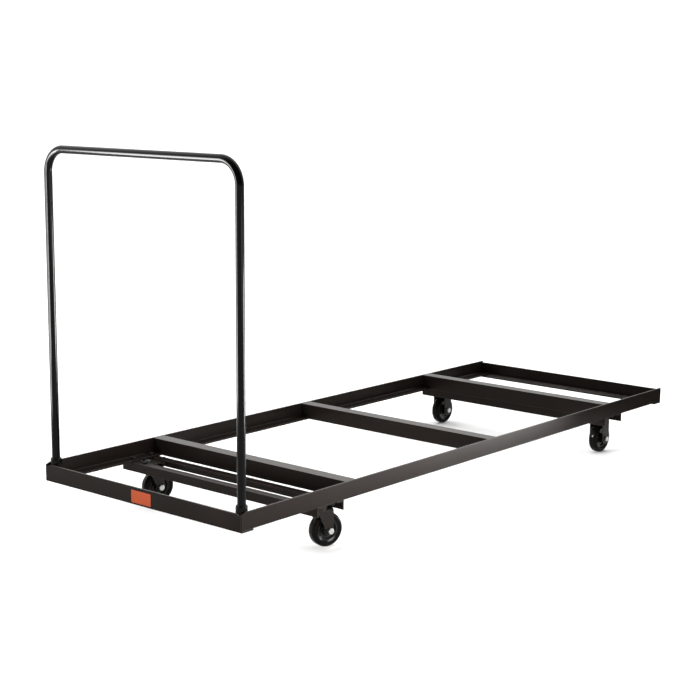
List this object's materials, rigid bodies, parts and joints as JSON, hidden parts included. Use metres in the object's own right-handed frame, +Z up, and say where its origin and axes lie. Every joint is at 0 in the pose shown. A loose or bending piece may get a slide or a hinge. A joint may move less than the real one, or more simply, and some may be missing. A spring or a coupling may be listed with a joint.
{
  "type": "banquet table trolley",
  "caption": "Flat angle-steel trolley for folded banquet tables laid flat on its deck, with a bent tube push handle at one end and swivel and rigid casters.",
  "frame": {"origin": "on the floor, under the middle of the deck", "axes": "+X along the deck from the handle end to the far end, +Y to the pusher's left, +Z up"},
  "size_m": [2.49, 0.914, 1.265],
  "materials": {
    "frame_paint": "semi-gloss dark brown-black powder coat",
    "caster_black": "satin black",
    "tyre": "smooth black rubber",
    "hub": "glossy black",
    "zinc": "bright zinc",
    "steel": "plain steel",
    "bronze": "sintered bronze",
    "bolt_black": "black oxide"
  },
  "bodies": {
    "frame": {"side_rail_left": "frame_paint", "side_rail_right": "frame_paint", "end_rail_handle": "frame_paint", "end_rail_far": "frame_paint", "cross_member_front": "frame_paint", "cross_member_middle": "frame_paint", "cross_member_rear": "frame_paint", "bolster_handle_front": "frame_paint", "bolster_handle_rear": "frame_paint", "bolster_far_front": "frame_paint", "bolster_far_rear": "frame_paint", "push_handle": "frame_paint", "handle_socket_left": "frame_paint", "handle_socket_right": "frame_paint", "swivel_plate_left": "caster_black", "swivel_plate_right": "caster_black", "swivel_balls_left": "steel", "swivel_balls_right": "steel", "kingpin_left": "steel", "kingpin_right": "steel", "kingpin_washer_left": "steel", "kingpin_washer_right": "steel", "kingpin_nut_left": "steel", "kingpin_nut_right": "steel", "rigid_plate_left": "caster_black", "rigid_plate_right": "caster_black", "rigid_fork_left": "caster_black", "rigid_fork_right": "caster_black", "axle_sleeve_far_left": "steel", "axle_sleeve_far_right": "steel", "axle_bolt_far_left": "zinc", "axle_bolt_far_right": "zinc", "axle_nut_far_left": "zinc", "axle_nut_far_right": "zinc", "plate_bolts": "bolt_black", "plate_washers": "bolt_black", "plate_nuts": "bolt_black"},
    "swivel_left": {"swivel_fork_left": "caster_black", "axle_sleeve_handle_left": "steel", "axle_bolt_handle_left": "zinc", "axle_nut_handle_left": "zinc"},
    "swivel_right": {"swivel_fork_right": "caster_black", "axle_sleeve_handle_right": "steel", "axle_bolt_handle_right": "zinc", "axle_nut_handle_right": "zinc"},
    "wheel_handle_left": {"tyre_handle_left": "tyre", "hub_handle_left": "hub", "bush_handle_left": "bronze"},
    "wheel_handle_right": {"tyre_handle_right": "tyre", "hub_handle_right": "hub", "bush_handle_right": "bronze"},
    "wheel_far_left": {"tyre_far_left": "tyre", "hub_far_left": "hub", "bush_far_left": "bronze"},
    "wheel_far_right": {"tyre_far_right": "tyre", "hub_far_right": "hub", "bush_far_right": "bronze"}
  },
  "joints": [
    {"name": "swivel_turn_left", "type": "hinge", "parent": "frame", "child": "swivel_left", "pos_m": [-0.8433, 0.395, 0.131], "axis": [0, 0, 1], "continuous": true},
    {"name": "wheel_spin_handle_left", "type": "hinge", "parent": "swivel_left", "child": "wheel_handle_left", "pos_m": [-0.81079, 0.38506, 0.057], "axis": [0.2924, 0.9563, 0], "continuous": true},
    {"name": "wheel_spin_far_left", "type": "hinge", "parent": "frame", "child": "wheel_far_left", "pos_m": [0.8693, 0.395, 0.057], "axis": [0, 1, 0], "continuous": true},
    {"name": "swivel_turn_right", "type": "hinge", "parent": "frame", "child": "swivel_right", "pos_m": [-0.8433, -0.395, 0.131], "axis": [0, 0, 1], "continuous": true},
    {"name": "wheel_spin_handle_right", "type": "hinge", "parent": "swivel_right", "child": "wheel_handle_right", "pos_m": [-0.81079, -0.40494, 0.057], "axis": [0.2924, 0.9563, 0], "continuous": true},
    {"name": "wheel_spin_far_right", "type": "hinge", "parent": "frame", "child": "wheel_far_right", "pos_m": [0.8693, -0.395, 0.057], "axis": [0, 1, 0], "continuous": true}
  ]
}
